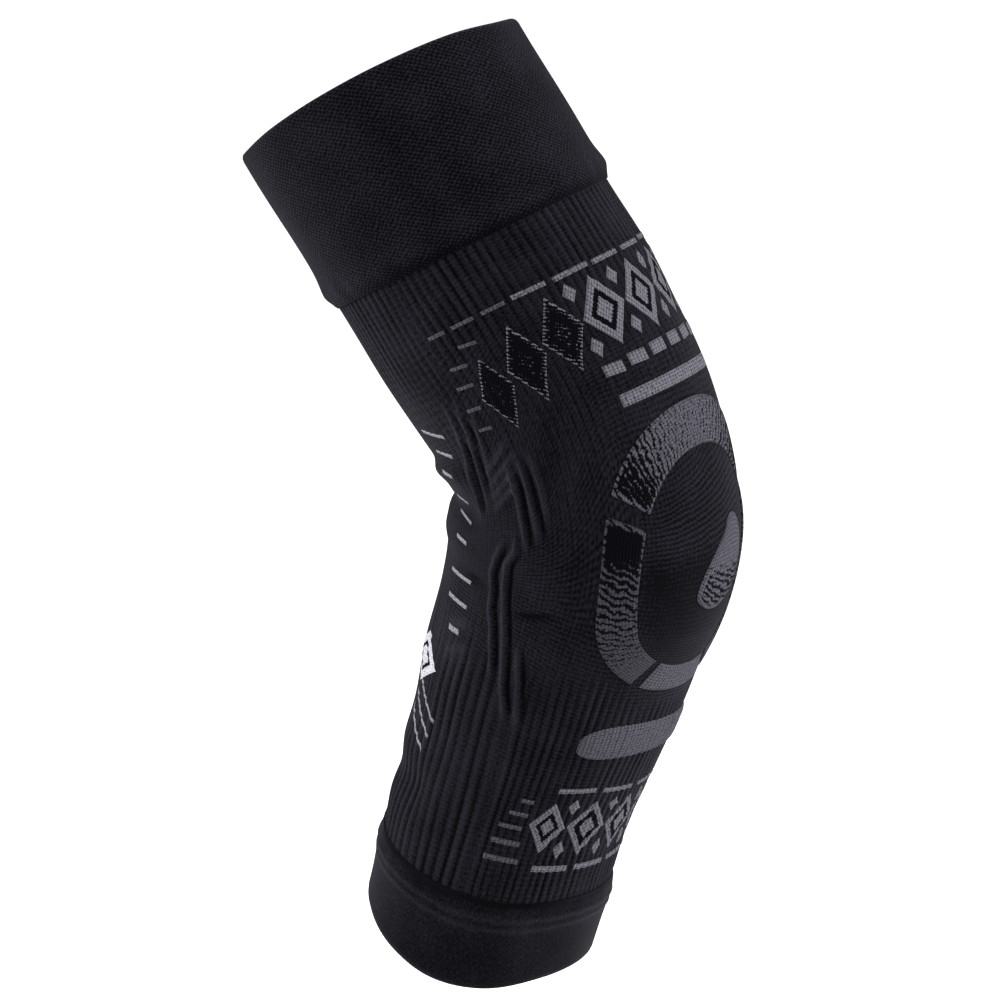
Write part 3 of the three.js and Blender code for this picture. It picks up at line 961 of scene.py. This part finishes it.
grey_slabs = both_sides(LOZENGES, lozenge, nested)
grey_slabs += both_sides(STUDS, lozenge, plain) + both_sides(STRIPES, straight, plain)
motifs = patch_object("grey_motifs", grey_slabs)
pale_motifs = patch_object("pale_motifs", both_sides(PALE_LOZENGES, lozenge, nested))
grey_dashes = patch_object("grey_dashes", dashes(DASHES))
pale_dashes = patch_object("pale_dashes", dashes(PALE_DASHES))
inlays = [motifs, pale_motifs, grey_dashes, pale_dashes]
for piece in inlays:
    print(piece.name, "triangles:", triangles(piece))

# %% [markdown]
# ## Colours and nodes
#
# A material is a tree of nodes. You could add them by hand in the Shader Editor, but one small function
# that adds a node, sets it up and links it makes a whole material readable from top to bottom.

# %% Colours and node helper
def colour(code):
    """An sRGB hex colour as linear red, green, blue and alpha."""
    value = np.array([int(code[k : k + 2], 16) / 255 for k in (1, 3, 5)])
    linear = np.where(value <= 0.04045, value / 12.92, ((value + 0.055) / 1.055) ** 2.4)
    return (*map(float, linear), 1.0)


def add(tree, kind, links=None, output=0, **settings):
    """Adds a node, sets it up, fills or links its inputs, and returns one of its outputs."""
    node = tree.nodes.new(kind)
    for key, value in settings.items():
        setattr(node, key, value)
    for key, value in (links or {}).items():
        if isinstance(value, bpy.types.NodeSocket):
            tree.links.new(value, node.inputs[key])
        else:
            node.inputs[key].default_value = value
    return node.outputs[output] if node.outputs else node


print("middle grey is", round(colour("#808080")[0], 3), "in linear light")


# %% Nodes that come back often
def math_node(tree, operation, *values):
    """One number worked out from one, two or three."""
    return add(tree, "ShaderNodeMath", dict(enumerate(values)), operation=operation)


def noise(tree, place, scale, detail):
    """Cloudy noise on the knit."""
    return add(tree, "ShaderNodeTexNoise", {"Vector": place, "Scale": scale, "Detail": detail})


def painted(tree, name):
    """A value that the mesh carries at its points."""
    return add(tree, "ShaderNodeAttribute", output="Fac", attribute_name=name)


def share_between(tree, value, low, high):
    """A share that goes from 0 at the low value to 1 at the high one."""
    return add(tree, "ShaderNodeMapRange", {"Value": value, "From Min": low, "From Max": high})


def mix(tree, share, low, high):
    """A colour between two others."""
    return add(tree, "ShaderNodeMix", {0: share, 6: low, 7: high}, output=2, data_type="RGBA")


print("the tube carries:", [layer.name for layer in tube.data.attributes if layer.name[0] != "."])

# %% [markdown]
# ## Knit materials
#
# Knit is rows of small loops. Seen close, a column of loops is a chain of V shapes, with a groove
# between columns. A picture of knit could be wrapped around, but you can draw it as a height instead: a
# slanted wave along the column, and a round profile across it. The height drives a bump and also paints
# shade into the gaps between loops, where little light comes out of black yarn. The UV map is in
# millimetres, so the sizes below are real ones, and the Scale of a noise is one over the size of its
# patches: 0.07 gives patches of about 14 mm.

# %% Start of a knit material and its loops
LEG_SLANT, LEG_HEIGHT, LEG_LEVEL = 0.5, 0.25, 0.5


def new_material(name):
    """An empty material, and the place on the knit in millimetres, across and along."""
    material = bpy.data.materials.new(name)
    material.use_nodes = True
    tree = material.node_tree
    tree.nodes.clear()
    place = add(tree, "ShaderNodeUVMap", uv_map="knit_mm")
    across = add(tree, "ShaderNodeSeparateXYZ", {0: place}, output=0)
    along = across.node.outputs[1]
    return material, tree, place, across, along


def loops(tree, across, along, wale, course, groove=2.0):
    """Height of V-shaped loops, with columns wale wide and rows course high, in mm."""
    column = math_node(tree, "DIVIDE", across, wale)
    in_column = math_node(tree, "FRACT", column)
    off_middle = math_node(tree, "SUBTRACT", in_column, 0.5)
    off_middle = math_node(tree, "ABSOLUTE", off_middle)
    row = math_node(tree, "DIVIDE", along, course)
    slanted = math_node(tree, "MULTIPLY_ADD", off_middle, LEG_SLANT, row)
    turn = math_node(tree, "MULTIPLY", slanted, 2 * np.pi)
    leg = math_node(tree, "SINE", turn)
    leg = math_node(tree, "MULTIPLY_ADD", leg, LEG_HEIGHT, LEG_LEVEL)
    cut = math_node(tree, "POWER", off_middle, 2.0)
    cut = math_node(tree, "MULTIPLY", cut, groove)
    return math_node(tree, "SUBTRACT", leg, cut)


print(f"a column of loops on the tube is {KNIT_AROUND / RIBS / 2:.2f} mm wide")

# %% End of a knit material
FIBRE_TINT = "#8f8e98"


def cloth(material, tree, base, height, depth_mm, roughness, sheen):
    """Ends a knit material: matt yarn, with the sheen that loose fibres give at grazing angles."""
    normal = add(tree, "ShaderNodeBump", {"Strength": 1.0, "Distance": depth_mm * MM, "Height": height})
    surface = add(
        tree,
        "ShaderNodeBsdfPrincipled",
        {
            "Base Color": base,
            "Roughness": roughness,
            "IOR": 1.5,
            "Specular IOR Level": 0.0,
            "Sheen Weight": sheen,
            "Sheen Roughness": 0.5,
            "Sheen Tint": colour(FIBRE_TINT),
            "Normal": normal,
        },
    )
    add(tree, "ShaderNodeOutputMaterial", {"Surface": surface})
    return material


print("loose fibres shine in", np.round(colour(FIBRE_TINT)[:3], 2))

# %% [markdown]
# ## Black yarns
#
# The tube is knitted of covered elastic in polyamide: nearly black, matt, with a cool tint. One flat
# black would look like plastic, so the tone goes with the loops, with painted light on the ridges and
# painted shade in the furrows they lie on, and with flecks of fibre. The loops are about 1.5 mm wide
# here; real ones are nearer 1 mm, and are drawn coarser so that they still show at this distance. The
# welts are a finer mesh, in which alternate loops leave small holes; the lower one is so fine that its
# net hardly shows.

# %% Black yarn
DEEP_BLACK, LIGHT_BLACK = "#020203", "#1e1d23"
DEEP_TONE, LIGHT_TONE = 0.66, 1.7
FLECKS = [
    # noise scale, amount
    (1.0, 0.9),
    (0.07, 0.5),
]


def black_yarn(tree, place, height, weight):
    """Black between a deep and a light tone: painted shade in loop gaps and furrows, painted light on
    ridges, and flecks of fibre.
    """
    painted_shade_and_tone = painted(tree, "painted_shade_and_tone")
    tone = math_node(tree, "MULTIPLY_ADD", height, weight, painted_shade_and_tone)
    for scale, amount in FLECKS:
        fleck = noise(tree, place, scale, 2.0)
        tone = math_node(tree, "MULTIPLY_ADD", fleck, amount, tone)
    share = share_between(tree, tone, DEEP_TONE, LIGHT_TONE)
    return mix(tree, share, colour(DEEP_BLACK), colour(LIGHT_BLACK))


print("sizes of the flecks, in mm:", [round(1 / scale) for scale, amount in FLECKS])

# %% Rib knit
COURSE = 1.4
WOBBLE_SCALE, WOBBLE_MM = 0.12, 2.0


def rib_knit():
    """Covered elastic yarn in rib: deep furrows stay almost black, loop tops catch a soft grey."""
    material, tree, place, across, along = new_material("black polyamide rib knit")
    wobble = noise(tree, place, WOBBLE_SCALE, 2.0)
    along = math_node(tree, "MULTIPLY_ADD", wobble, WOBBLE_MM, along)
    groove = painted(tree, "groove")
    height = loops(tree, across, along, KNIT_AROUND / RIBS / 2, COURSE, groove)
    plainness = painted(tree, "loops")
    height = math_node(tree, "MULTIPLY", height, plainness)
    base = black_yarn(tree, place, height, weight=0.5)
    return cloth(material, tree, base, height, depth_mm=0.2, roughness=0.8, sheen=0.14)


rib_material = rib_knit()
print("made:", rib_material.name)

# %% Mesh knit
NET_WOBBLE_SCALE, NET_WOBBLE_MM = 0.3, 1.6
NET_HEIGHT, NET_LEVEL = 0.5, 0.25


def mesh_knit(name, width, length, weight, sheen):
    """Fine welt knit: a staggered net of loops and pinholes, a little softer than the tube."""
    material, tree, place, across, along = new_material(name)
    wobble = noise(tree, place, NET_WOBBLE_SCALE, 2.0)
    ripples = []
    for position, pitch in ((across, width), (along, length)):
        position = math_node(tree, "MULTIPLY_ADD", wobble, NET_WOBBLE_MM, position)
        turn = math_node(tree, "MULTIPLY", position, 2 * np.pi / pitch)
        ripples.append(math_node(tree, "COSINE", turn))
    net = math_node(tree, "MULTIPLY", ripples[0], ripples[1])
    height = math_node(tree, "MULTIPLY_ADD", net, NET_HEIGHT, NET_LEVEL)
    base = black_yarn(tree, place, height, weight)
    return cloth(material, tree, base, height, depth_mm=0.3 * weight, roughness=0.8, sheen=sheen)


upper_welt_knit = mesh_knit("black polyamide mesh welt", width=1.9, length=1.3, weight=0.7, sheen=0.12)
lower_welt_knit = mesh_knit("black polyamide fine welt", width=1.4, length=1.1, weight=0.25, sheen=0.18)
print("made:", upper_welt_knit.name, "and", lower_welt_knit.name)

# %% [markdown]
# ## Grey yarns
#
# The pads and motifs mix grey and black polyester yarn. The strokes of black could be meshes of their
# own, but there are hundreds, so the material draws them from the patch's darkness, which says how much
# of the surface is black: slanted strokes come from a wave across the patch, broken up by noise, and are
# cut off at that level. The grey itself is a melange, so it is mottled at the size of a loop, and it is
# painted darker in the gaps between loops, as shade.

# %% Grey knit
GREY_WALE, GREY_COURSE = 1.3, 1.0
STROKE_BLACK, STROKE_SLANT, STROKE_EDGE = "#050507", 0.4, 0.08
STROKE_HEIGHT, STROKE_LEVEL = 0.2, 0.15
RAGGED_SCALE, RAGGED_TURN = 0.3, 12.0
SPECK_SCALE, SPECK_HEIGHT = 1.1, 0.7
LOOP_GAP_SHADE, MOTTLE_LOW, MOTTLE_HIGH = 0.7, 0.3, 1.1


def grey_knit(name, deep, light, stroke_pitch):
    """Melange yarn: soft mottled grey with painted shade in the gaps of its loops, broken by ragged strokes
    that stay black in any light.
    """
    material, tree, place, across, along = new_material(name)
    height = loops(tree, across, along, GREY_WALE, GREY_COURSE)
    ragged = noise(tree, place, RAGGED_SCALE, 3.0)
    slant = math_node(tree, "MULTIPLY_ADD", along, STROKE_SLANT, across)
    turn = math_node(tree, "MULTIPLY", slant, 2 * np.pi / stroke_pitch)
    turn = math_node(tree, "MULTIPLY_ADD", ragged, RAGGED_TURN, turn)
    stroke = math_node(tree, "SINE", turn)
    stroke = math_node(tree, "MULTIPLY_ADD", stroke, STROKE_HEIGHT, STROKE_LEVEL)
    speck = noise(tree, place, SPECK_SCALE, 1.0)
    level = math_node(tree, "MULTIPLY_ADD", speck, SPECK_HEIGHT, stroke)
    darkness = painted(tree, "darkness")
    over = math_node(tree, "SUBTRACT", level, darkness)
    grey_share = share_between(tree, over, -STROKE_EDGE, STROKE_EDGE)
    # The melange mottle, with painted shade in the gaps between loops.
    mottle_and_gap_shade = math_node(tree, "MULTIPLY_ADD", height, LOOP_GAP_SHADE, speck)
    mottle_and_gap_shade = share_between(tree, mottle_and_gap_shade, MOTTLE_LOW, MOTTLE_HIGH)
    grey = mix(tree, mottle_and_gap_shade, colour(deep), colour(light))
    base = mix(tree, grey_share, colour(STROKE_BLACK), grey)
    return cloth(material, tree, base, height, depth_mm=0.3, roughness=0.72, sheen=0.05)


print(f"grey loops are {GREY_WALE} mm wide")

# %% Grey and pale materials
PAD_PITCH, SIDE_PITCH, INLAY_PITCH = 2.1, 2.3, 1.1
pad_material = grey_knit("grey and black polyester pad knit", "#222126", "#45444b", PAD_PITCH)
# A darker copy of the pad knit, for painted shade on the ring's two side segments.
shaded_pad_material = grey_knit("grey and black polyester pad knit in painted shade", "#1d1c21", "#35343a", SIDE_PITCH)
motif_material = grey_knit("grey polyester inlay yarn", "#2c2b30", "#58575e", INLAY_PITCH)
pale_material = grey_knit("pale polyester inlay yarn", "#74737a", "#a9a8ae", INLAY_PITCH)
dash_material = grey_knit("dark grey polyester inlay yarn", "#201f23", "#424147", INLAY_PITCH)
pale_dash_material = grey_knit("light grey polyester inlay yarn", "#515056", "#78777d", INLAY_PITCH)
print("made:", pad_material.name, "and", pale_material.name, "and four more")

# %% [markdown]
# ## Joining looks and frame
#
# Each piece rides on the CAD body and stands in for its CAD node, which is hidden. You could do that by
# hand for each object; one function does it the same way for all.

# %% Dress the CAD pieces
def dress(piece, material, slot, *nodes):
    """Gives a piece its material and its body, and hides its CAD nodes. The slot is not used."""
    piece.data.materials.append(material)
    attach(piece, "root")
    if nodes:
        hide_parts(*nodes)


dress(tube, rib_material, "black_rib_knit", "sleeve_forearm", "sleeve_elbow", "sleeve_upper_arm")
dress(upper_cuff, upper_welt_knit, "black_welt_knit", "upper_cuff")
dress(lower_cuff, lower_welt_knit, "black_welt_knit", "lower_cuff")
for name, pad in pads.items():
    # The ring's side segments get the pad knit in painted shade.
    in_painted_shade = name in ("elbow_ring_left", "elbow_ring_right")
    dress(pad, shaded_pad_material if in_painted_shade else pad_material, "grey_pad_knit", name)
dress(motifs, motif_material, "grey_pad_knit")
dress(pale_motifs, pale_material, "grey_pad_knit")
dress(grey_dashes, dash_material, "grey_pad_knit")
dress(pale_dashes, pale_dash_material, "grey_pad_knit")
print("dressed:", 3 + len(pads) + len(inlays), "pieces")

# %% [markdown]
# ## Room
#
# A black thing on white needs a bright room: light from all around makes the edges of the knit paler
# than its middle. A photograph of a room could light it, but a plain white world has no window frames to
# reflect. A wide pale floor lies well below, so that the shadow on it stays out of the picture.

# %% Floor and room
FLOOR_Z, FLOOR_SIZE = -0.5, 40
ROOM_LIGHT = 1.08
bpy.ops.mesh.primitive_plane_add(size=FLOOR_SIZE, location=(0, 0, FLOOR_Z))
floor = bpy.context.object
floor.name = "floor"
floor_material = bpy.data.materials.new("white painted studio floor")
floor_material.use_nodes = True
paint = floor_material.node_tree.nodes["Principled BSDF"]
paint.inputs["Base Color"].default_value = colour("#f8f8f8")
paint.inputs["Roughness"].default_value = 0.9
floor.data.materials.append(floor_material)
floor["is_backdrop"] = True

world = bpy.data.worlds.new("bright room")
world.use_nodes = True
world.node_tree.nodes["Background"].inputs["Color"].default_value = (1, 1, 1, 1)
world.node_tree.nodes["Background"].inputs["Strength"].default_value = ROOM_LIGHT
bpy.context.scene.world = world
print("floor", FLOOR_SIZE, "m wide, room light", ROOM_LIGHT)

# %% [markdown]
# ## Lamps
#
# A soft lamp on each side grazes the knit and draws the ribs, and a weak one from above fills in. Sun
# lamps would draw hard edges, so these are wide squares that face the middle of the elbow.

# %% Lamps
def soft_lamp(name, place, size, power):
    """A square lamp that faces the origin, with its size in metres and its power in watts."""
    lamp = bpy.data.lights.new(name, "AREA")
    lamp.size, lamp.energy = size, power
    made = bpy.data.objects.new(name, lamp)
    made.location = place
    made.rotation_euler = (-Vector(place)).to_track_quat("-Z", "Y").to_euler()
    bpy.context.collection.objects.link(made)


soft_lamp("key", (-0.6, -1.4, 1.6), size=0.8, power=18)
soft_lamp("left", (-1.55, -0.75, 0.6), size=0.7, power=43)
soft_lamp("right", (1.5, 0.35, 0.7), size=0.7, power=54)
print("lamps:", len(bpy.data.lights))

# %% [markdown]
# ## Camera
#
# A product photo is taken from far away with a long lens, so that near parts don't look swollen. You
# could move the camera by hand until the outline fits; here its place is worked out from two angles, the
# size of a pixel at the elbow, and where in the picture the elbow lies.

# %% Camera
PIXEL, PICTURE = 0.306 * MM, 1000
ELBOW_RIGHT, ELBOW_UP = 112.7, 27
LENS, SENSOR = 180, 36
AZIMUTH, ELEVATION = np.radians(24), np.radians(15.6)
level = np.cos(ELEVATION)
back = Vector((np.sin(AZIMUTH) * level, -np.cos(AZIMUTH) * level, np.sin(ELEVATION)))
right = Vector((np.cos(AZIMUTH), np.sin(AZIMUTH), 0))
up = back.cross(right)
lens = bpy.data.cameras.new("camera")
lens.lens, lens.sensor_width = LENS, SENSOR
camera = bpy.data.objects.new("camera", lens)
distance = LENS / SENSOR * PICTURE * PIXEL
camera.location = back * distance - right * (ELBOW_RIGHT * PIXEL) - up * (ELBOW_UP * PIXEL)
camera.rotation_euler = back.to_track_quat("Z", "Y").to_euler()
bpy.context.collection.objects.link(camera)
bpy.context.scene.camera = camera
bpy.context.scene.view_settings.view_transform = "Standard"
print(f"camera distance {distance:.2f} m")

# %% Sizes of the CAD and the dressed pieces
looks_box = [[float(value) for value in corner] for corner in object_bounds()]
print("CAD and dressed size in mm:")
for box in (cad_box, looks_box):
    print([round((high - low) / MM, 1) for low, high in zip(*box)])
